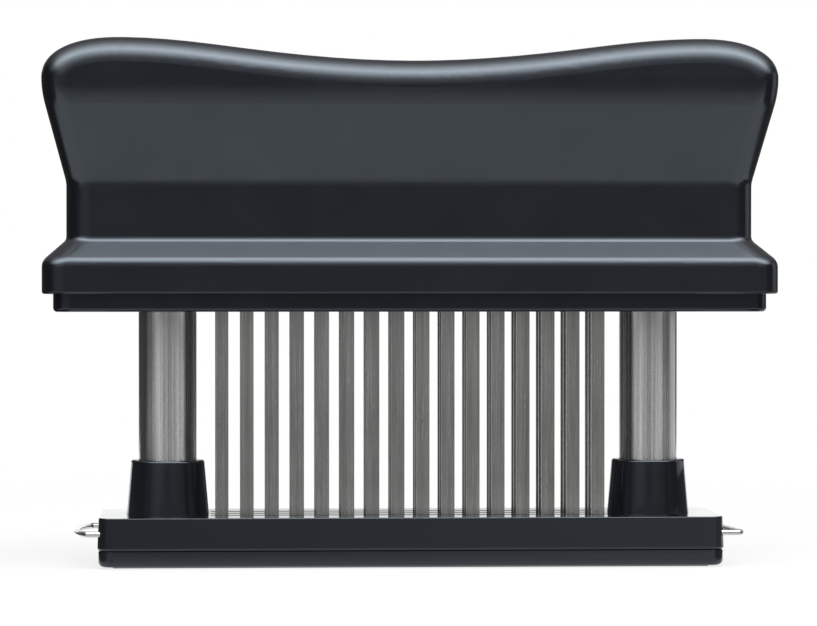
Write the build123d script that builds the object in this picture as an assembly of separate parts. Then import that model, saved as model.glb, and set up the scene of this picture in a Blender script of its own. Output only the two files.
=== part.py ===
from build123d import *
import os
from math import cos, dist, pi, sin, sqrt

# Hand-pressed blade tenderizer. Millimetres, +X along the handle, +Z up, front at -Y.
# The origin is the middle of the underside of the foot, with the handle up.

# Blades: flat strips in three rows along X, each with a wider head
blades_per_row = 16
blade_pitch = 5.168
row_pitch = 6.2
blade_width = 2.74
blade_thickness = 0.8
blade_head_lip = 0.5
blade_head_height = 2.0
blade_tip_height = 2.0
blade_tip_slant = 2.4
blade_edge_thickness = 0.12
blade_edge_height = 1.8

# Columns and the plugs in their ends
column_diameter = 12.0
column_wall = 0.8
column_plug_length = 9.0
column_head_lip = 1.2
column_head_thickness = 2.0

# Foot: upper frame and lower sole, parted by a seam. The sole stands on a low flat land.
foot_height = 10.3
seam_height = 3.5
foot_end = 14.15
foot_side = 9.6
foot_corner_radius = 3.2
foot_draft = 2.2
foot_top_round = 0.2
seam_round = 0.7
sole_inset = 0.2
sole_draft = 0.5
sole_bottom_round = 1.1
land_height = 0.3
land_inset = 3.0
boss_height = 11.2
boss_top_wall = 1.55
boss_bottom_wall = 2.5
boss_round = 0.5
boss_blade_gap = 1.27
socket_step = 2.6
socket_floor_thickness = 2.6
row_slot_width = 2.2
row_slot_end = 0.9

# Wire clips and the lugs of the sole that they lock
wire_diameter = 1.2
clip_height = 6.95
clip_leg_inset = 2.3
clip_leg_reach = 25.0
clip_bend_radius = 0.9
left_clip_out = 1.3
left_clip_bow = 2.3
right_clip_front_out = 2.65
right_clip_rear_out = 0.2
lug_length = 8.0
lug_thickness = 2.2
lug_top_wall = 0.7

# Stroke of the handle
stroke = 30.0
stroke_reserve = 0.65

# Blade carrier and clamp
carrier_rim_height = 3.65
carrier_spigot_height = 4.4
carrier_inset = 2.25
carrier_corner_radius = 3.6
carrier_edge_round = 0.8
clamp_thickness = 2.4
clamp_side = 2.4
clamp_tower_gap = 0.5

# Handle shell: flange, neck and flared grip with a dipped top. The cheek's rise and run are shares.
shell_wall = 2.2
skirt_wall = 3.3
flange_face = 6.7
flange_slope = 4.4
flange_run_end = 4.8
flange_run_side = 4.4
flange_corner_radius = 4.8
flange_edge_round = 2.5
flange_bottom_round = 0.5
neck_end = 20.6
neck_height = 11.75
neck_root_round = 1.6
grip_run_end = 4.86
grip_run_side = 4.9
grip_flare_height = 18.5
grip_crease_reach = 1.0
grip_knee_reach = 2.8
grip_dip_lift = 6.3
grip_peak_lift = 10.9
grip_peak_inset = 15.7
grip_cheek_rise = 0.53
grip_cheek_run = 0.7
grip_wave_x = 33.0
grip_edge_round = 5.2
grip_inner_round = 2.5
tower_wall = 1.2
tower_gap = 1.1
tower_roof = 3.5
rib_thickness = 1.6
ribs_per_side = 2

# Springs
spring_wire = 1.0
spring_wall_gap = 1.0
spring_turns = 8
spring_end_gap = 0.5

# Screws, with plain shanks
screw_diameter = 3.0
screw_head_diameter = 5.6
screw_head_height = 2.0
screw_head_round = 0.7
carrier_screw_length = 14.0
clamp_screw_length = 6.0
column_screw_diameter = 4.0
column_screw_head_diameter = 7.0
column_screw_head_height = 2.4
column_screw_length = 8.0
drive_span = 3.2
drive_width = 0.9
drive_depth = 1.0
screw_boss_wall = 2.0

# Clearances, each on one side
slide_clearance = 0.05
seat_clearance = 0.02
wire_clearance = 0.1
blade_slide_clearance = 0.25
tower_clearance = 0.3
lug_clearance = 0.15
screw_clearance = 0.3

# Places worked out from the sizes above
rows = {"front": -row_pitch, "middle": 0.0, "rear": row_pitch}
blade_places = [(i - (blades_per_row - 1) / 2) * blade_pitch for i in range(blades_per_row)]
blade_field = blade_pitch * (blades_per_row - 1) + blade_width
column_radius = column_diameter / 2
column_bore = column_radius - column_wall
boss_top_radius = column_radius + boss_top_wall
boss_bottom_radius = column_radius + boss_bottom_wall
column_x = blade_field / 2 + boss_blade_gap + boss_bottom_radius
foot_length = 2 * (column_x + foot_end)
foot_depth = 2 * (row_pitch + foot_side)
boss_top = foot_height + boss_height
socket_floor = foot_height - socket_step
column_screw_seat = socket_floor - socket_floor_thickness
carrier_bottom = boss_top + stroke + stroke_reserve
flange_bottom = carrier_bottom + carrier_rim_height
carrier_top = flange_bottom + carrier_spigot_height
clamp_top = carrier_top + clamp_thickness
flange_edge = flange_bottom + flange_face
neck_bottom = flange_edge + flange_slope
crease = neck_bottom + neck_height
knee = crease + grip_flare_height
grip_peak = knee + grip_peak_lift
column_head_radius = column_radius + column_head_lip
column_head_top = carrier_top + column_head_thickness
tower_bore = column_head_radius + tower_clearance
tower_radius = tower_bore + tower_wall
tower_ceiling = grip_peak - tower_roof
neck_half_length = column_x + neck_end
neck_half_depth = tower_radius + tower_gap + shell_wall
flange_length = 2 * (neck_half_length + flange_run_end)
flange_depth = 2 * (neck_half_depth + flange_run_side)
clip_leg_y = foot_depth / 2 - clip_leg_inset
clip_leg_end = foot_length / 2 - clip_leg_reach
clip_bend_x = foot_length / 2 + clip_bend_radius
carrier_screw_x = column_x + tower_radius + screw_boss_wall + screw_diameter / 2
carrier_screw_seat = carrier_bottom + screw_head_height + screw_clearance
clamp_screw_x = (blades_per_row / 2 - 4) * blade_pitch
standing = (Align.CENTER, Align.CENTER, Align.MIN)


def save(shape, node):
    export_step(shape, f"parts/{node}.step")


def spread(locations, outline):
    """Copies of a flat outline as one sketch."""
    return Sketch() + [location * outline for location in locations]


def at_columns(piece):
    """The piece at both columns, as one shape."""
    return Pos(column_x, 0, 0) * piece + Pos(-column_x, 0, 0) * piece


def upright(radius, low, high):
    return Pos(0, 0, low) * extrude(Circle(radius), high - low)


def block(length, depth, corner_radius, low, high):
    return Pos(0, 0, low) * extrude(RectangleRounded(length, depth, corner_radius), high - low)


def level_edges(solid, height):
    """Edges that lie flat at one height."""
    flat = 1e-3
    boxes = [(edge, edge.bounding_box()) for edge in solid.edges()]
    return [edge for edge, box in boxes if abs(box.min.Z - height) + abs(box.max.Z - height) < flat]


def blade_slots(lip, low, high):
    """A slot around every blade, wider than the blade by a lip on each side."""
    slot = Rectangle(blade_width + 2 * lip, blade_thickness + 2 * lip)
    sketch = spread(GridLocations(blade_pitch, row_pitch, blades_per_row, len(rows)), slot)
    return Pos(0, 0, low) * extrude(sketch, high - low)


def screw(diameter, head_diameter, head_height, length):
    """Pan-head screw with a cross recess. The head lies under z = 0, the shank above."""
    head = upright(head_diameter / 2, -head_height, 0)
    head = fillet(level_edges(head, -head_height), screw_head_round)
    cross = Rectangle(drive_span, drive_width) + Rectangle(drive_width, drive_span)
    recess = Pos(0, 0, -head_height) * extrude(cross, drive_depth)
    return head + upright(diameter / 2, 0, length) - recess


def small_screw(length):
    return screw(screw_diameter, screw_head_diameter, screw_head_height, length)


def upper_half():
    """Body of the frame, drafted upwards from the seam and eased at its edges."""
    height = foot_height - seam_height
    half = extrude(RectangleRounded(foot_length, foot_depth, foot_corner_radius), height, taper=foot_draft)
    half = fillet(level_edges(half, height), foot_top_round)
    half = fillet(level_edges(half, 0), seam_round)
    return Pos(0, 0, seam_height) * half


def lower_half():
    """Body of the sole, set in under the frame, with a land inside its bottom edge."""
    length, depth = foot_length - 2 * sole_inset, foot_depth - 2 * sole_inset
    height = seam_height - land_height
    outline = RectangleRounded(length, depth, foot_corner_radius - sole_inset)
    half = Rot(180, 0, 0) * extrude(outline, height, taper=sole_draft)
    half = fillet(level_edges(half, -height), sole_bottom_round)
    land = Box(length - 2 * land_inset, depth - 2 * land_inset, seam_height, align=standing)
    return Pos(0, 0, seam_height) * half + land


def lugs(clearance):
    """The four lugs of the sole, or with a clearance the pockets for them."""
    outline = Rectangle(lug_length + 2 * clearance, lug_thickness + 2 * clearance)
    sketch = spread(GridLocations(2 * column_x, 2 * clip_leg_y, 2, 2), outline)
    top = clip_height + wire_diameter / 2 + lug_top_wall + clearance
    return Pos(0, 0, seam_height) * extrude(sketch, top - seam_height)


def wire_holes():
    """Bores for the legs of both clips, from each end of the foot."""
    start = clip_leg_end - wire_clearance
    bore = Plane.YZ * Circle(wire_diameter / 2 + wire_clearance)
    leg = extrude(bore, foot_length / 2 + 1 - start)
    front = Pos(start, -clip_leg_y, clip_height) * leg
    pair = front + mirror(front, Plane.XZ)
    return pair + mirror(pair, Plane.YZ)


def column_screw_head_room():
    top = column_screw_seat
    low = top - column_screw_head_height - screw_clearance
    return at_columns(upright(column_screw_head_diameter / 2 + screw_clearance, low, top))


def base_frame():
    boss = Cone(boss_bottom_radius, boss_top_radius, boss_height, align=standing)
    boss = Pos(0, 0, foot_height) * fillet(level_edges(boss, boss_height), boss_round)
    frame = upper_half() + at_columns(boss)
    socket = upright(column_radius + seat_clearance, socket_floor, boss_top + 1)
    socket += upright(column_screw_diameter / 2 + screw_clearance, 0, socket_floor)
    row_slot = Rectangle(blade_field + 2 * row_slot_end, row_slot_width)
    row_slots = extrude(spread([Pos(0, y, 0) for y in rows.values()], row_slot), foot_height + 1)
    cuts = [at_columns(socket), row_slots, column_screw_head_room(), lugs(lug_clearance), wire_holes()]
    return frame - cuts


def base_sole():
    sole = lower_half() + lugs(0)
    slots = blade_slots(blade_slide_clearance, -1, foot_height)
    return sole - [slots, column_screw_head_room(), wire_holes()]


def column():
    tube = upright(column_radius, socket_floor, carrier_top)
    return tube - upright(column_bore, socket_floor, carrier_top)


def column_foot():
    plug = upright(column_bore - seat_clearance, socket_floor, socket_floor + column_plug_length)
    top = column_screw_seat + column_screw_length + screw_clearance
    return plug - upright(column_screw_diameter / 2 + seat_clearance, socket_floor, top)


def column_head():
    plug = upright(column_bore - seat_clearance, carrier_top - column_plug_length, carrier_top)
    return plug + upright(column_head_radius, carrier_top, column_head_top)


def column_screw():
    body = screw(column_screw_diameter, column_screw_head_diameter,
                 column_screw_head_height, column_screw_length)
    return Pos(0, 0, column_screw_seat) * body


def wire(path):
    """Round wire along a flat path at the height of the clips."""
    section = Plane(origin=path @ 0, z_dir=path % 0) * Circle(wire_diameter / 2)
    return Pos(0, 0, clip_height) * sweep(section, path)


def left_clip():
    """Straight legs joined by a bowed pull."""
    out = -clip_bend_x - left_clip_out
    corners = [(out, -clip_leg_y), (out, clip_leg_y)]
    front = Line((-clip_leg_end, -clip_leg_y), corners[0])
    bow = ThreePointArc(corners[0], (out - left_clip_bow, 0), corners[1])
    rear = Line(corners[1], (-clip_leg_end, clip_leg_y))
    path = Wire([front, bow, rear])
    bends = [v for v in path.vertices() if abs(v.X - out) < clip_bend_radius]
    return wire(path.fillet_2d(clip_bend_radius, bends))


def right_clip():
    """Straight legs joined by a slanting pull that stands out further at the front."""
    front = (clip_bend_x + right_clip_front_out, -clip_leg_y)
    rear = (clip_bend_x + right_clip_rear_out, clip_leg_y)
    points = [(clip_leg_end, -clip_leg_y), front, rear, (clip_leg_end, clip_leg_y)]
    return wire(FilletPolyline(*points, radius=clip_bend_radius))


def biarc(start, start_way, end, end_way):
    """Two tangent arcs from one point and direction to another."""
    gap = end - start
    ways = start_way + end_way
    spread_out = 2 * (1 - start_way.dot(end_way))
    reach = (sqrt(gap.dot(ways) ** 2 + spread_out * gap.dot(gap)) - gap.dot(ways)) / spread_out
    middle = (start + end + (start_way - end_way) * reach) / 2
    middle_way = end - end_way * reach - start - start_way * reach
    first = TangentArc(start, middle, tangent=start_way)
    return [first, TangentArc(middle, end, tangent=middle_way)]


def spring():
    """Compression spring between the column head and the roof of its tower."""
    radius = tower_bore - spring_wall_gap - spring_wire / 2
    low = column_head_top + spring_wire / 2 + seat_clearance
    high = tower_ceiling - spring_wire / 2 - seat_clearance
    end_pitch = spring_wire + spring_end_gap
    pitch = (high - low - 2 * end_pitch) / (spring_turns - 2)
    steps = range(4 * spring_turns + 1)
    turns = [step / 4 for step in steps]
    heights = [low + end_pitch * min(t, 1) + pitch * min(max(t - 1, 0), spring_turns - 2)
               + end_pitch * max(t - spring_turns + 1, 0) for t in turns]
    points = [Vector(radius * cos(2 * pi * t), radius * sin(2 * pi * t), z) for t, z in zip(turns, heights)]
    ways = []
    for step in steps:
        before, after = max(step - 1, 0), min(step + 1, steps[-1])
        climb = (heights[after] - heights[before]) / (after - before)
        angle = 2 * pi * turns[step]
        ways.append(Vector(-radius * sin(angle) * pi / 2, radius * cos(angle) * pi / 2, climb).normalized())
    arcs = []
    for step in steps[:-1]:
        arcs += biarc(points[step], ways[step], points[step + 1], ways[step + 1])
    section = Plane(origin=points[0], z_dir=ways[0]) * Circle(spring_wire / 2)
    least = min(dist(tuple(a), tuple(b)) for i, a in enumerate(points) for b in points[i + 3:])
    print("least gap between the turns of a spring", round(least - spring_wire, 3))
    return sweep(section, Wire(arcs))


def blade():
    """One strip with a head at the carrier's top and a slanted, sharpened tip."""
    half, lip = blade_width / 2, blade_width / 2 + blade_head_lip
    neck = carrier_top - blade_head_height
    tip = blade_tip_height
    outline = [(-half, tip), (half, tip + blade_tip_slant), (half, neck), (lip, neck), (lip, carrier_top)]
    outline += [(-lip, carrier_top), (-lip, neck), (-half, neck)]
    strip = extrude(Plane.XZ * Polygon(*outline, align=None), blade_thickness / 2, both=True)
    edge, thick = blade_edge_thickness / 2, blade_thickness / 2
    shoulder = tip + blade_edge_height
    wedge = [(-edge, tip), (edge, tip), (thick, shoulder), (thick, carrier_top)]
    wedge += [(-thick, carrier_top), (-thick, shoulder)]
    return strip & extrude(Plane.YZ * Polygon(*wedge, align=None), lip, both=True)


def blade_row(y):
    strip = blade()
    return Compound([Pos(x, y, 0) * strip for x in blade_places])


def blade_carrier():
    rim_length, rim_depth = flange_length - 2 * carrier_inset, flange_depth - 2 * carrier_inset
    rim = block(rim_length, rim_depth, carrier_corner_radius, carrier_bottom, flange_bottom)
    rim = fillet(level_edges(rim, carrier_bottom), carrier_edge_round)
    gap = skirt_wall + slide_clearance
    spigot = block(flange_length - 2 * gap, flange_depth - 2 * gap, carrier_corner_radius,
                   flange_bottom, carrier_top)
    bores = at_columns(upright(column_radius + slide_clearance, carrier_bottom - 1, carrier_top + 1))
    head = Rectangle(blade_width + 2 * (blade_head_lip + slide_clearance),
                     blade_thickness + 2 * slide_clearance)
    heads = spread(GridLocations(blade_pitch, row_pitch, blades_per_row, len(rows)), head)
    pockets = Pos(0, 0, carrier_top - blade_head_height) * extrude(heads, blade_head_height)
    hole = upright(screw_diameter / 2 + screw_clearance, carrier_bottom - 1, carrier_top + 1)
    hole += upright(screw_head_diameter / 2 + screw_clearance, carrier_bottom - 1, carrier_screw_seat)
    holes = [Pos(side * carrier_screw_x, 0, 0) * hole for side in (-1, 1)]
    thread_low = clamp_top - clamp_screw_length - screw_clearance
    thread = upright(screw_diameter / 2 + seat_clearance, thread_low, carrier_top)
    threads = [place * thread for place in clamp_screw_places()]
    slots = blade_slots(slide_clearance, carrier_bottom - 1, carrier_top)
    return rim + spigot - [bores, slots, pockets, *holes, *threads]


def clamp_screw_places():
    return GridLocations(2 * clamp_screw_x, row_pitch, 2, 2)


def blade_clamp():
    length = 2 * (column_x - tower_radius - clamp_tower_gap)
    depth = 2 * (row_pitch + blade_thickness / 2 + clamp_side)
    plate = block(length, depth, clamp_side, carrier_top, clamp_top)
    hole = upright(screw_diameter / 2 + screw_clearance, carrier_top, clamp_top)
    for place in clamp_screw_places():
        plate -= place * hole
    return plate


def clamp_screws():
    body = Pos(0, 0, clamp_top) * Rot(180, 0, 0) * small_screw(clamp_screw_length)
    return Compound([place * body for place in clamp_screw_places()])


def carrier_screws():
    body = small_screw(carrier_screw_length)
    return Compound([Pos(side * carrier_screw_x, 0, carrier_screw_seat) * body for side in (-1, 1)])


def flank(half, run):
    """Right-hand outline of neck and flare, eased at the crease and at the knee."""
    slope = run / grip_flare_height
    low, high = grip_crease_reach, grip_knee_reach
    flare = [(half + slope * low, crease + low), (half + run - slope * high, knee - high)]
    neck = Line((half, carrier_top), (half, crease - low))
    lower = Bezier(neck @ 1, (half, crease), flare[0])
    upper = Bezier(flare[1], (half + run, knee), (half + run, knee + high))
    return [neck, lower, Line(*flare), upper]


def closed_outline(right):
    """Face between a right-hand outline and its mirror image."""
    curves = Curve() + right
    other = mirror(curves, Plane.YZ)
    first, last = right[0] @ 0, right[-1] @ 1
    ends = [Line(point, (-point.X, point.Y)) for point in (first, last) if point.X > 1e-3]
    return make_face(curves.edges() + other.edges() + ends)


def grip_front(inset):
    """Front outline of neck and grip, set in from the outer face: flared ends, dipped top."""
    ends = flank(neck_half_length - inset, grip_run_end)
    shoulder = ends[-1] @ 1
    peak = Vector(neck_half_length + grip_run_end - grip_peak_inset, grip_peak - inset)
    rise = Vector(0, grip_cheek_rise * (peak.Y - shoulder.Y))
    run = Vector(grip_cheek_run * (shoulder.X - peak.X), 0)
    dip = knee + grip_dip_lift - inset
    cheek = Bezier(shoulder, shoulder + rise, peak + run, peak)
    wave = Spline(peak, (grip_wave_x, (peak.Y + dip) / 2), (0, dip), tangents=[(-1, 0), (-1, 0)])
    return closed_outline(ends + [cheek, wave])


def grip_side(inset):
    """Side outline of neck and grip, open upwards past the top."""
    sides = flank(neck_half_depth - inset, grip_run_side)
    shoulder = sides[-1] @ 1
    return closed_outline(sides + [Line(shoulder, (shoulder.X, 2 * grip_peak))])


def grip_form(inset, edge_round):
    """Solid neck and grip, set in from the outer face and rounded along its outlines."""
    front = extrude(Plane.XZ * grip_front(inset), neck_half_depth + 2 * grip_run_side, both=True)
    side = extrude(Plane.YZ * grip_side(inset), neck_half_length + 2 * grip_run_end, both=True)
    form = front & side
    rising = [e for e in form.edges() if e.bounding_box().size.Z > 1e-2]
    return fillet(rising, edge_round)


def hip(length, depth, corner_radius, low, top_length, top_depth, top_radius, high):
    """Sloped top of the flange, between two rounded rectangles."""
    outlines = [Pos(0, 0, low) * RectangleRounded(length, depth, corner_radius)]
    outlines += [Pos(0, 0, high) * RectangleRounded(top_length, top_depth, top_radius)]
    return loft(outlines)


def handle_outside():
    """Flange, slope and grip. The slope is drawn on past the face of the neck."""
    over = 1.5
    face = block(flange_length, flange_depth, flange_corner_radius, flange_bottom, flange_edge)
    slope = hip(flange_length, flange_depth, flange_corner_radius, flange_edge,
                flange_length - 2 * over * flange_run_end, flange_depth - 2 * over * flange_run_side,
                flange_corner_radius + over * (grip_edge_round - flange_corner_radius),
                flange_edge + over * flange_slope)
    flange = face + slope
    flange = fillet(level_edges(flange, flange_edge), flange_edge_round)
    flange = fillet(level_edges(flange, flange_bottom), flange_bottom_round)
    form = flange + grip_form(0, grip_edge_round)
    root = [e for e in form.edges() if abs(e.center().Z - neck_bottom) < neck_root_round / 2
            and e.bounding_box().size.Z < neck_root_round]
    return fillet(root, neck_root_round)


def handle_cavity():
    """Hollow of the shell, open at the bottom of the skirt."""
    length, depth = flange_length - 2 * skirt_wall, flange_depth - 2 * skirt_wall
    slope_low, slope_high = flange_edge - shell_wall / 4, neck_bottom - shell_wall / 2
    skirt = block(length, depth, carrier_corner_radius, flange_bottom, slope_low)
    neck_length, neck_depth = 2 * (neck_half_length - shell_wall), 2 * (neck_half_depth - shell_wall)
    slope = hip(length, depth, carrier_corner_radius, slope_low,
                neck_length, neck_depth, grip_inner_round, slope_high)
    return skirt + slope + grip_form(shell_wall, grip_inner_round)


def handle_inside():
    """Spring towers, screw bosses and cross ribs, which fill parts of the hollow."""
    tall = grip_peak - carrier_top
    towers = at_columns(upright(tower_radius, carrier_top, grip_peak))
    boss_radius = screw_diameter / 2 + screw_boss_wall
    boss = upright(boss_radius, carrier_top, carrier_screw_seat + carrier_screw_length + screw_boss_wall)
    web = Pos(0, 0, carrier_top) * Box(neck_half_length - column_x, rib_thickness, tall,
                                       align=(Align.MIN, Align.CENTER, Align.MIN))
    end = Pos(column_x, 0, 0) * web + Pos(carrier_screw_x, 0, 0) * boss
    inside = towers + end + mirror(end, Plane.YZ)
    rib_pitch = (column_x - tower_radius) / (ribs_per_side + 1)
    rib = Box(rib_thickness, 2 * flange_depth, tall, align=standing)
    for i in range(-ribs_per_side, ribs_per_side + 1):
        inside += Pos(i * rib_pitch, 0, clamp_top) * rib
    return inside


def handle_shell():
    bores = at_columns(upright(tower_bore, flange_bottom, tower_ceiling))
    thread_top = carrier_screw_seat + carrier_screw_length + screw_clearance
    thread = upright(screw_diameter / 2 + seat_clearance, carrier_top, thread_top)
    threads = [Pos(side * carrier_screw_x, 0, 0) * thread for side in (-1, 1)]
    hollow = handle_cavity() - handle_inside()
    return handle_outside() - [hollow, bores, *threads]


os.makedirs("parts", exist_ok=True)
save(base_frame(), "base_frame")
save(base_sole(), "base_sole")
save(left_clip(), "left_clip")
save(right_clip(), "right_clip")
save(handle_shell(), "handle_shell")
save(blade_carrier(), "blade_carrier")
save(blade_clamp(), "blade_clamp")
save(clamp_screws(), "clamp_screws")
save(carrier_screws(), "carrier_screws")
for row, y in rows.items():
    save(blade_row(y), f"{row}_blades")
column_pieces = {"column": column(), "column_foot": column_foot(), "column_head": column_head(),
                 "column_screw": column_screw(), "spring": spring()}
for side, x in {"left": -column_x, "right": column_x}.items():
    for name, piece in column_pieces.items():
        save(Pos(x, 0, 0) * piece, f"{side}_{name}")
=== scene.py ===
import bpy
from math import cos, radians, sin, tau
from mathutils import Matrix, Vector


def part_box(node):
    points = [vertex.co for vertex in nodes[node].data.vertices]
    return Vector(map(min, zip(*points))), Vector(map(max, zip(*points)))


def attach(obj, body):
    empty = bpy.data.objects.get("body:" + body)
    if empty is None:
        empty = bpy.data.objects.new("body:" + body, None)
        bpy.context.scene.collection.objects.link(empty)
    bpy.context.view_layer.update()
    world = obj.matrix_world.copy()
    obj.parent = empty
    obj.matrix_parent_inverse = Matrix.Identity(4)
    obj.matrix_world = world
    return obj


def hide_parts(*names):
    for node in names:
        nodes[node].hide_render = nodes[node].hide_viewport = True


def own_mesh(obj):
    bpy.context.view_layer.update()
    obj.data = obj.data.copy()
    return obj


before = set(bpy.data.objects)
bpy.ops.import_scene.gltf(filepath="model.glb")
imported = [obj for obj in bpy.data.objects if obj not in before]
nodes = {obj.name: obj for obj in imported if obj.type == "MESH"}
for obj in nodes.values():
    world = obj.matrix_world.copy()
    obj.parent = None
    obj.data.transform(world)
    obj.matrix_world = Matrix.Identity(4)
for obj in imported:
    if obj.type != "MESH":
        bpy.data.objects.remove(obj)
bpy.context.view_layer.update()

# Metres, front at -Y, the foot stands on z = 0.

# Return springs: coils with closed ends
SPRING_WIRE = 0.001
SPRING_TURNS = 8
SPRING_POINTS_PER_TURN = 36
SPRING_END_PITCH = 1.5 * SPRING_WIRE

# Distance of each column from the middle
COLUMN_X = sum(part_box("right_column")[i].x for i in (0, 1)) / 2

# Surface relief of the finishes
RELIEF_DEPTH = 0.00002
PLASTIC_RELIEF = 0.06
STEEL_RELIEF = 0.08

# Floor: its tone and glow near the object, and where it fades to plain white
FLOOR_DROP = 0.00005
FLOOR_NEAR_TONE = 0.24
FLOOR_NEAR_GLOW = 0.77
FLOOR_FADE_START = 0.1
FLOOR_FADE_END = 0.4

# Reflection cards, by their distance from the middle of the foot
ARCH_REACH = 2.5
FAR_SIDE = 0.25
MIDDLE_SIDE = 0.14
NEAR_SIDE = 0.1
FOOT_SIDE = 0.0775
FRONT_CARD_HALF = 0.09
BACK_CARD_Y = 0.045
TABLE_CARD_LIFT = 0.0003

# Share of the white sky that lights the object
SKY_LIGHT = 0.4

# Camera of the photo's view
CAMERA_PLACE = (-0.0397, -0.747, 0.0589)
CAMERA_TILT_DOWN = 0.545
CAMERA_TURN_RIGHT = 3.04
CAMERA_LENS = 158.8
CAMERA_SENSOR = 36.0


def add_node(tree, kind, inputs=None, **settings):
    """A node with its settings, and its inputs as values or as links from other sockets."""
    made = tree.nodes.new(kind)
    for name, value in settings.items():
        setattr(made, name, value)
    for name, value in (inputs or {}).items():
        socket = made.inputs[name]
        if isinstance(value, bpy.types.NodeSocket):
            tree.links.new(value, socket)
        else:
            socket.default_value = value
    return made


def effect_group(name, inputs, outputs):
    """An empty node group with named sockets, and its two end nodes."""
    group = bpy.data.node_groups.new(name, "ShaderNodeTree")
    for socket, kind, value in inputs:
        made = group.interface.new_socket(socket, in_out="INPUT", socket_type=kind)
        made.default_value = value
    for socket, kind in outputs:
        group.interface.new_socket(socket, in_out="OUTPUT", socket_type=kind)
    return group, group.nodes.new("NodeGroupInput"), group.nodes.new("NodeGroupOutput")


def opaque(red, green, blue):
    """A colour with full alpha."""
    return (red, green, blue, 1.0)


def moulded_skin_group():
    """Skin of moulded plastic: faint flow clouds, patchy gloss and a fine grain."""
    clouds_per_metre = (30, 45, 75)
    patches_per_metre = 90.0
    group, start, end = effect_group(
        "moulded_skin",
        [("Dark", "NodeSocketColor", opaque(0.01, 0.01, 0.01)),
         ("Pale", "NodeSocketColor", opaque(0.02, 0.02, 0.02)),
         ("Gloss Low", "NodeSocketFloat", 0.2), ("Gloss High", "NodeSocketFloat", 0.3),
         ("Grain Size", "NodeSocketFloat", 2500.0)],
        [("Color", "NodeSocketColor"), ("Roughness", "NodeSocketFloat"), ("Height", "NodeSocketFloat")])
    place = add_node(group, "ShaderNodeTexCoord").outputs["Object"]
    flow = add_node(group, "ShaderNodeMapping", {"Vector": place, "Scale": clouds_per_metre})
    clouds = add_node(group, "ShaderNodeTexNoise", {"Vector": flow.outputs[0], "Scale": 1.0, "Detail": 4.0})
    tone = add_node(group, "ShaderNodeMix", {"Factor": clouds.outputs[0]}, data_type="RGBA")
    group.links.new(start.outputs["Dark"], tone.inputs["A"])
    group.links.new(start.outputs["Pale"], tone.inputs["B"])
    patches = add_node(group, "ShaderNodeTexNoise", {"Vector": place, "Scale": patches_per_metre,
                                                     "Detail": 3.0})
    gloss = add_node(group, "ShaderNodeMapRange", {"Value": patches.outputs[0],
                                                   "From Min": 0.3, "From Max": 0.7,
                                                   "To Min": start.outputs["Gloss Low"],
                                                   "To Max": start.outputs["Gloss High"]})
    grain = add_node(group, "ShaderNodeTexNoise", {"Vector": place, "Scale": start.outputs["Grain Size"],
                                                   "Detail": 2.0})
    group.links.new(tone.outputs["Result"], end.inputs["Color"])
    group.links.new(gloss.outputs[0], end.inputs["Roughness"])
    group.links.new(grain.outputs[0], end.inputs["Height"])
    return group


def drawn_lines_group():
    """Lines left by drawing, rolling or turning steel, across the first coordinate."""
    broad_scale, fine_scale = 0.35, 2.2
    group, start, end = effect_group(
        "drawn_lines",
        [("Vector", "NodeSocketVector", (0, 0, 0)), ("Dark", "NodeSocketColor", opaque(0.3, 0.3, 0.3)),
         ("Pale", "NodeSocketColor", opaque(0.6, 0.6, 0.6)), ("Gloss Low", "NodeSocketFloat", 0.15),
         ("Gloss High", "NodeSocketFloat", 0.3)],
        [("Color", "NodeSocketColor"), ("Roughness", "NodeSocketFloat"), ("Height", "NodeSocketFloat")])
    across = start.outputs["Vector"]
    broad = add_node(group, "ShaderNodeTexNoise", {"Vector": across, "Scale": broad_scale, "Detail": 2.0})
    fine = add_node(group, "ShaderNodeTexNoise", {"Vector": across, "Scale": fine_scale, "Detail": 5.0,
                                                  "Roughness": 0.7})
    both = add_node(group, "ShaderNodeMath", {0: broad.outputs[0], 1: fine.outputs[0]}, operation="ADD")
    shade = add_node(group, "ShaderNodeMapRange", {"Value": both.outputs[0],
                                                   "From Min": 0.7, "From Max": 1.3})
    tone = add_node(group, "ShaderNodeMix", {"Factor": shade.outputs[0]}, data_type="RGBA")
    group.links.new(start.outputs["Dark"], tone.inputs["A"])
    group.links.new(start.outputs["Pale"], tone.inputs["B"])
    gloss = add_node(group, "ShaderNodeMapRange", {"Value": fine.outputs[0],
                                                   "From Min": 0.35, "From Max": 0.65,
                                                   "To Min": start.outputs["Gloss Low"],
                                                   "To Max": start.outputs["Gloss High"]})
    group.links.new(tone.outputs["Result"], end.inputs["Color"])
    group.links.new(gloss.outputs[0], end.inputs["Roughness"])
    group.links.new(fine.outputs[0], end.inputs["Height"])
    return group


def new_material(name):
    material = bpy.data.materials.new(name)
    material.use_nodes = True
    return material, material.node_tree, material.node_tree.nodes["Principled BSDF"]


def place_effect(tree, shader, group, dark, pale, gloss, relief):
    """An effect group with its own values, and its colour, roughness and relief in the shader."""
    effect = add_node(tree, "ShaderNodeGroup", node_tree=group)
    effect.inputs["Dark"].default_value = opaque(*dark)
    effect.inputs["Pale"].default_value = opaque(*pale)
    effect.inputs["Gloss Low"].default_value, effect.inputs["Gloss High"].default_value = gloss
    bump = add_node(tree, "ShaderNodeBump", {"Strength": relief, "Distance": RELIEF_DEPTH,
                                             "Height": effect.outputs["Height"]})
    tree.links.new(effect.outputs["Color"], shader.inputs["Base Color"])
    tree.links.new(effect.outputs["Roughness"], shader.inputs["Roughness"])
    tree.links.new(bump.outputs[0], shader.inputs["Normal"])
    return effect


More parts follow.
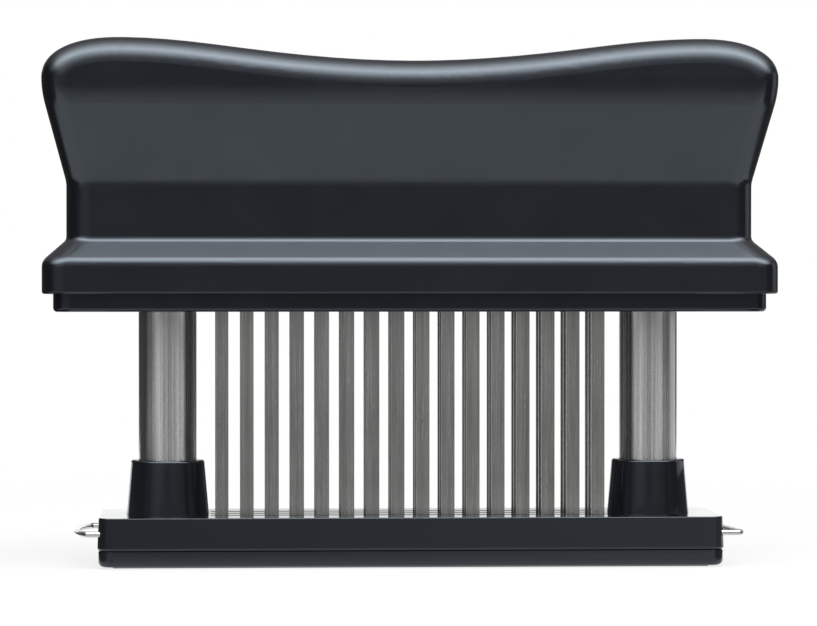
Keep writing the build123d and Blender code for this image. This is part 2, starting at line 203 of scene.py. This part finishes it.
def black_plastic(name, skin, dark, pale, gloss, ior=1.7):
    """Black plastic with a cool shine."""
    material, tree, shader = new_material(name)
    place_effect(tree, shader, skin, dark, pale, gloss, PLASTIC_RELIEF)
    shader.inputs["IOR"].default_value = ior
    shader.inputs["Specular Tint"].default_value = opaque(0.76, 0.88, 1.0)
    return material


def steel(name, lines, dark, pale, gloss, stretch, around_columns=False, polish_axis=None):
    """Bright steel with lines. Stretch gives the lines per metre along each coordinate."""
    material, tree, shader = new_material(name)
    place = add_node(tree, "ShaderNodeTexCoord").outputs["Object"]
    if around_columns:
        place = column_coordinates(tree, place)
    mapped = add_node(tree, "ShaderNodeMapping", {"Vector": place, "Scale": stretch})
    effect = place_effect(tree, shader, lines, dark, pale, gloss, STEEL_RELIEF)
    tree.links.new(mapped.outputs[0], effect.inputs["Vector"])
    shader.inputs["Metallic"].default_value = 1.0
    if polish_axis:
        around = add_node(tree, "ShaderNodeTangent", direction_type="RADIAL", axis=polish_axis)
        tree.links.new(around.outputs[0], shader.inputs["Tangent"])
        shader.inputs["Anisotropic"].default_value = 0.85
        shader.inputs["Anisotropic Rotation"].default_value = 0.25
    return material


def column_coordinates(tree, place):
    """Angle about the nearest column, distance from its axis, and height."""
    parts = add_node(tree, "ShaderNodeSeparateXYZ", {0: place})
    along_y = parts.outputs["Y"]
    side = add_node(tree, "ShaderNodeMath", {0: parts.outputs["X"]}, operation="ABSOLUTE")
    across = add_node(tree, "ShaderNodeMath", {0: side.outputs[0], 1: COLUMN_X}, operation="SUBTRACT")
    along_x = across.outputs[0]
    angle = add_node(tree, "ShaderNodeMath", {0: along_x, 1: along_y}, operation="ARCTAN2")
    x_square = add_node(tree, "ShaderNodeMath", {0: along_x, 1: along_x}, operation="MULTIPLY")
    square = add_node(tree, "ShaderNodeMath", {0: along_y, 1: along_y, 2: x_square.outputs[0]},
                      operation="MULTIPLY_ADD")
    radius = add_node(tree, "ShaderNodeMath", {0: square.outputs[0]}, operation="SQRT")
    return add_node(tree, "ShaderNodeCombineXYZ", {"X": angle.outputs[0], "Y": radius.outputs[0],
                                                   "Z": parts.outputs["Z"]}).outputs[0]


def finish_nodes():
    """Gives every CAD node its finish, and returns the wire's for the springs."""
    skin, lines = moulded_skin_group(), drawn_lines_group()
    handle = black_plastic("handle_black", skin, (0.0052, 0.0054, 0.008), (0.0083, 0.0086, 0.0118),
                           (0.17, 0.23))
    carrier = black_plastic("carrier_black", skin, (0.0037, 0.0041, 0.0074), (0.0057, 0.0064, 0.0104),
                            (0.17, 0.23), ior=1.62)
    foot = black_plastic("foot_black", skin, (0.0075, 0.0081, 0.0106), (0.0104, 0.0111, 0.014), (0.07, 0.12))
    column = steel("column_steel", lines, (0.38, 0.38, 0.385), (0.78, 0.78, 0.785), (0.2, 0.33),
                   (5.0, 0.0, 2.0), around_columns=True, polish_axis="Z")
    blade = steel("blade_steel", lines, (0.37, 0.37, 0.358), (0.61, 0.61, 0.595), (0.2, 0.28),
                  (2200.0, 900.0, 20.0))
    wire = steel("wire_steel", lines, (0.55, 0.55, 0.55), (0.75, 0.75, 0.74), (0.16, 0.26),
                 (60.0, 3000.0, 3000.0))
    turned = steel("turned_steel", lines, (0.42, 0.42, 0.42), (0.6, 0.6, 0.6), (0.2, 0.32),
                   (0.3, 6000.0, 6000.0), around_columns=True)
    screw = steel("screw_steel", lines, (0.45, 0.45, 0.46), (0.62, 0.62, 0.62), (0.22, 0.34),
                  (900.0, 900.0, 6000.0))
    finishes = {"handle_shell": handle, "blade_carrier": carrier, "base_frame": foot, "base_sole": foot,
                "blade_clamp": blade, "clamp_screws": screw, "carrier_screws": screw}
    finishes |= {f"{row}_blades": blade for row in ("front", "middle", "rear")}
    for side in ("left", "right"):
        finishes |= {f"{side}_clip": wire, f"{side}_column": column, f"{side}_column_foot": turned,
                     f"{side}_column_head": turned, f"{side}_column_screw": screw}
    for name, material in finishes.items():
        nodes[name].data.materials.clear()
        nodes[name].data.materials.append(material)
    return wire


def round_wire(name, points, wire):
    """A closed-ended round wire through the points, as a mesh."""
    curve = bpy.data.curves.new(name, "CURVE")
    curve.dimensions = "3D"
    curve.bevel_depth = wire / 2
    curve.bevel_resolution = 4
    curve.use_fill_caps = True
    spline = curve.splines.new("POLY")
    spline.points.add(len(points) - 1)
    for point, place in zip(spline.points, points):
        point.co = (*place, 1.0)
    holder = bpy.data.objects.new(name + ".path", curve)
    bpy.context.collection.objects.link(holder)
    mesh = bpy.data.meshes.new_from_object(holder.evaluated_get(bpy.context.evaluated_depsgraph_get()))
    bpy.data.objects.remove(holder)
    mesh.name = name
    mesh.shade_smooth()
    piece = bpy.data.objects.new(name, mesh)
    bpy.context.collection.objects.link(piece)
    return piece


def return_spring(side, material):
    """A coil around its column, in the spring part's place, carried with the foot."""
    node = f"{side}_spring"
    low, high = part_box(node)
    middle = (low + high) / 2
    radius = (high.y - low.y) / 2 - SPRING_WIRE / 2
    bottom, top = low.z + SPRING_WIRE / 2, high.z - SPRING_WIRE / 2
    open_turns = SPRING_TURNS - 2
    pitch = (top - bottom - 2 * SPRING_END_PITCH) / open_turns
    points = []
    steps = SPRING_POINTS_PER_TURN * SPRING_TURNS
    for step in range(steps + 1):
        turn = SPRING_TURNS * step / steps
        height = bottom + SPRING_END_PITCH * min(turn, 1) + pitch * min(max(turn - 1, 0), open_turns)
        height += SPRING_END_PITCH * max(turn - SPRING_TURNS + 1, 0)
        points.append((middle.x + radius * cos(tau * turn), middle.y + radius * sin(tau * turn), height))
    piece = round_wire(f"{side}_return_spring", points, SPRING_WIRE)
    piece.data.materials.append(material)
    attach(piece, "base")
    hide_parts(node)
    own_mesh(piece)


def mesh_object(name, vertices, faces):
    mesh = bpy.data.meshes.new(name)
    mesh.from_pydata(vertices, [], faces)
    made = bpy.data.objects.new(name, mesh)
    bpy.context.collection.objects.link(made)
    return made


def seen_share(tree):
    """One for rays from the camera and for mirrored or passed rays, else zero."""
    path = add_node(tree, "ShaderNodeLightPath").outputs
    near = add_node(tree, "ShaderNodeMath", {0: path["Is Camera Ray"], 1: path["Is Glossy Ray"]},
                    operation="MAXIMUM")
    return add_node(tree, "ShaderNodeMath", {0: near.outputs[0], 1: path["Is Transmission Ray"]},
                    operation="MAXIMUM").outputs[0]


def white_floor():
    """Pale floor that fades to plain white away from the object and keeps its shadow nearby."""
    front, half, rear = -6.0, 6.0, 8.0
    floor = mesh_object("floor", [(-half, front, 0), (half, front, 0), (half, rear, 0), (-half, rear, 0)],
                        [(0, 1, 2, 3)])
    floor.location.z = -FLOOR_DROP
    material, tree, shader = new_material("floor_white")
    place = add_node(tree, "ShaderNodeTexCoord").outputs["Object"]
    away = add_node(tree, "ShaderNodeVectorMath", {0: place}, operation="LENGTH")
    fade = add_node(tree, "ShaderNodeMapRange", {"Value": away.outputs["Value"],
                                                 "From Min": FLOOR_FADE_START, "From Max": FLOOR_FADE_END},
                    interpolation_type="SMOOTHSTEP")
    near_tone = opaque(FLOOR_NEAR_TONE, FLOOR_NEAR_TONE, FLOOR_NEAR_TONE)
    tone = add_node(tree, "ShaderNodeMix", {"Factor": fade.outputs[0], "A": near_tone,
                                            "B": opaque(0, 0, 0)}, data_type="RGBA")
    tree.links.new(tone.outputs["Result"], shader.inputs["Base Color"])
    level = add_node(tree, "ShaderNodeMapRange", {"Value": fade.outputs[0],
                                                  "To Min": FLOOR_NEAR_GLOW, "To Max": 1.0})
    glow = add_node(tree, "ShaderNodeMath", {0: seen_share(tree), 1: level.outputs[0]}, operation="MULTIPLY")
    tree.links.new(glow.outputs[0], shader.inputs["Emission Strength"])
    shader.inputs["Emission Color"].default_value = opaque(1, 1, 1)
    shader.inputs["Roughness"].default_value = 0.9
    shader.inputs["Specular IOR Level"].default_value = 0.0
    floor.data.materials.append(material)


def reflector(name, rows):
    """A card seen only in reflections, from rows of places, each place with its glow."""
    wide = len(rows[0])
    faces = []
    for corner in range(wide, wide * len(rows)):
        if corner % wide:
            faces.append((corner - wide - 1, corner - wide, corner, corner - 1))
    card = mesh_object(name, [place for row in rows for place, glow in row], faces)
    level = card.data.attributes.new("glow", "FLOAT", "POINT")
    level.data.foreach_set("value", [glow for row in rows for place, glow in row])
    material, tree, shader = new_material(name)
    tree.nodes.remove(shader)
    strength = add_node(tree, "ShaderNodeAttribute", attribute_name="glow").outputs["Fac"]
    shine = add_node(tree, "ShaderNodeEmission", {"Color": opaque(1, 1, 1), "Strength": strength})
    tree.links.new(shine.outputs[0], tree.nodes["Material Output"].inputs["Surface"])
    material.cycles.emission_sampling = "NONE"
    card.data.materials.append(material)
    card.visible_camera = False
    card.visible_diffuse = False
    card.visible_shadow = False
    card.visible_transmission = False


def light_arch():
    """Soft panel from the front over the top, brightest above the front. It is stronger to the left below."""
    # Rise in degrees above the floor, and the glow there
    levels = [(-40, 0.26), (0.8, 0.26), (2.2, 0.16), (5, 0.13), (7.5, 0.22), (10, 0.27), (18, 0.5),
              (32, 0.95), (47, 3.8), (63, 7.4), (80, 4.5), (99, 1.4), (123, 0.34), (147, 0.2), (168, 0.2)]
    # Turn in degrees to the right, and the share of the glow there low down and high up
    turns = [(-90, 0.2, 0.03), (-78, 0.2, 0.03), (-68, 0.2, 0.05), (-57, 0.4, 0.14), (-50, 0.8, 0.32),
             (-42, 1.3, 0.64), (-34, 1.7, 0.86), (-26, 1.8, 0.95), (-18, 1.7, 0.95), (-8, 1.1, 0.95),
             (2, 1.0, 1.0), (14, 1.4, 1.06), (26, 1.2, 1.0), (38, 0.9, 0.9), (46, 0.7, 0.75),
             (52, 0.35, 0.52), (58, 0.2, 0.34), (68, 0.2, 0.12), (80, 0.2, 0.05), (90, 0.2, 0.03)]
    low_rise, high_rise = 10, 47
    rows = []
    for rise, level in levels:
        high = min(max((rise - low_rise) / (high_rise - low_rise), 0), 1)
        out, up = ARCH_REACH * cos(radians(rise)), ARCH_REACH * sin(radians(rise))
        rows.append([((ARCH_REACH * sin(radians(turn)), -out * cos(radians(turn)), up * cos(radians(turn))),
                      level * (below + (above - below) * high)) for turn, below, above in turns])
    reflector("light_arch", rows)


def side_card(name, x, bands):
    """Upright card beside the object. Each band is a height and the glow at places along Y."""
    reflector(name, [[((x, y, z), glow) for y, glow in levels] for z, levels in bands])


def front_card(name, y, levels, right_gain):
    """Low upright card before the object, with its glow at heights, which changes towards the right end."""
    left, right = -FRONT_CARD_HALF, FRONT_CARD_HALF
    reflector(name, [[((left, y, z), glow / right_gain), ((right, y, z), glow * right_gain)]
                     for z, glow in levels])


def back_card(name, low, high, levels):
    """Low upright card behind the object, with its glow at places along X."""
    reflector(name, [[((x, BACK_CARD_Y, z), glow) for x, glow in levels] for z in (low, high)])


def table_card(name, left, right, levels):
    """Card that lies on the floor, with its glow at places along Y."""
    reflector(name, [[((x, y, TABLE_CARD_LIFT), glow) for y, glow in levels] for x in (right, left)])


def lamp(name, place, target, size, power):
    light = bpy.data.lights.new(name, "AREA")
    light.shape = "SQUARE"
    light.size = size
    light.energy = power
    made = bpy.data.objects.new(name, light)
    made.location = place
    made.rotation_euler = (Vector(target) - Vector(place)).to_track_quat("-Z", "Y").to_euler()
    made.visible_glossy = False
    bpy.context.collection.objects.link(made)


def side_cards():
    """Cards at both ends, for the rims of the handle and the columns."""
    card_top = 0.15
    left_side = [(-0.135, 0.16), (-0.05, 0.06), (0.2, 0.06), (1.6, 0.1)]
    side_card("left_card", -FAR_SIDE, [(0, left_side), (card_top, left_side)])
    right_strip = [(-0.147, 0.15), (-0.012, 0.08), (0.006, 0.5), (0.07, 0.55), (0.1, 0.12), (0.9, 0.08)]
    right_side = [(-0.147, 0.15), (-0.012, 0.08), (0.006, 0.1), (0.07, 0.1), (0.1, 0.1), (0.9, 0.08)]
    side_card("right_card", FAR_SIDE, [(0, right_side), (0.04, right_side), (0.055, right_strip),
                                       (card_top, right_strip)])
    near_strip = [(-0.003, 0.08), (0.0015, 0.6), (0.035, 0.65), (0.045, 0.14)]
    side_card("right_near_card", NEAR_SIDE, [(0.02, near_strip), (0.05, near_strip)])


def table_cards():
    """Cards on the floor, beside and before the foot. The one just before the foot is painted contact shade,
    seen only in reflections.
    """
    table_card("left_table_card", -MIDDLE_SIDE, -FOOT_SIDE, [(-0.08, 0.2), (-0.03, 0.16), (0, 0.07),
                                                             (0.3, 0.05)])
    table_card("left_far_table_card", -FAR_SIDE, -MIDDLE_SIDE, [(-0.02, 0.6), (0.005, 0.35), (0.025, 0.06),
                                                                (0.3, 0.05)])
    table_card("right_table_card", FOOT_SIDE, MIDDLE_SIDE, [(-0.08, 0.16), (0.02, 0.16)])
    table_card("front_fade_card", -1.2, 1.2, [(-2.45, 0.18), (-0.8, 0.2), (-0.5, 0.32), (-0.33, 0.52),
                                              (-0.25, 0.78), (-0.19, 1.0)])
    # Dim card just before the foot, seen only in reflections: painted contact shade of the floor there.
    table_card("front_table_shade_card", -FOOT_SIDE, FOOT_SIDE, [(-0.035, 0.55), (-0.028, 0.58), (-0.022, 0.65),
                                                           (-0.0165, 0.75), (-0.0128, 0.75)])


def foot_cards():
    """Low cards around the foot, for its corners, its front and the ends of its top."""
    edge_top = 0.014
    left_low = [(-0.069, 0.28), (-0.04, 0.15), (-0.01, 0.08), (0.2, 0.06)]
    right_low = [(-0.069, 0.32), (-0.04, 0.29), (-0.003, 0.22)]
    side_card("left_edge_card", -NEAR_SIDE, [(0, left_low), (edge_top, left_low)])
    side_card("right_edge_card", NEAR_SIDE, [(0, right_low), (edge_top, right_low)])
    front_card("front_edge_card", -0.1, [(0, 0.27), (0.012, 0.27), (0.015, 0.22), (0.024, 0.22)],
               right_gain=1.0)
    front_card("front_low_card", -0.035, [(0, 0.67), (0.0003, 0.58), (0.0007, 0.46), (0.0013, 0.4),
                                          (0.0019, 0.33), (0.0024, 0.28), (0.004, 0.31), (0.0125, 0.31)],
               right_gain=1.35)
    back_low, back_high = 0.004, 0.021
    back_card("left_back_card", back_low, back_high, [(-0.09, 1.32), (-0.0605, 1.32), (-0.045, 1.0)])
    back_card("right_back_card", back_low, back_high, [(0.05, 1.0), (0.067, 1.32), (0.09, 1.32)])


def white_sky():
    """Sky that is plain white where it is seen or mirrored, and lights the object softly."""
    world = bpy.data.worlds.new("studio")
    bpy.context.scene.world = world
    world.use_nodes = True
    tree = world.node_tree
    sky = tree.nodes["Background"]
    sky.inputs["Color"].default_value = opaque(1, 1, 1)
    level = add_node(tree, "ShaderNodeMapRange", {"Value": seen_share(tree),
                                                  "To Min": SKY_LIGHT, "To Max": 1.0})
    tree.links.new(level.outputs[0], sky.inputs["Strength"])


def studio():
    white_floor()
    light_arch()
    side_cards()
    table_cards()
    foot_cards()
    aim = (0, 0, 0.05)
    lamp("key_lamp", (0.3, -0.6, 1.6), aim, size=1.4, power=22.0)
    lamp("fill_lamp", (-0.9, -1.2, 0.6), aim, size=1.0, power=6.0)
    white_sky()


def photo_camera():
    camera = bpy.data.cameras.new("camera")
    camera.sensor_width = CAMERA_SENSOR
    camera.lens = CAMERA_LENS
    camera.clip_start = 0.01
    made = bpy.data.objects.new("camera", camera)
    made.location = CAMERA_PLACE
    made.rotation_euler = (radians(90 - CAMERA_TILT_DOWN), 0, -radians(CAMERA_TURN_RIGHT))
    bpy.context.collection.objects.link(made)
    bpy.context.scene.camera = made


spring_finish = finish_nodes()
for side in ("left", "right"):
    return_spring(side, spring_finish)
studio()
photo_camera()
bpy.context.scene.view_settings.view_transform = "Standard"
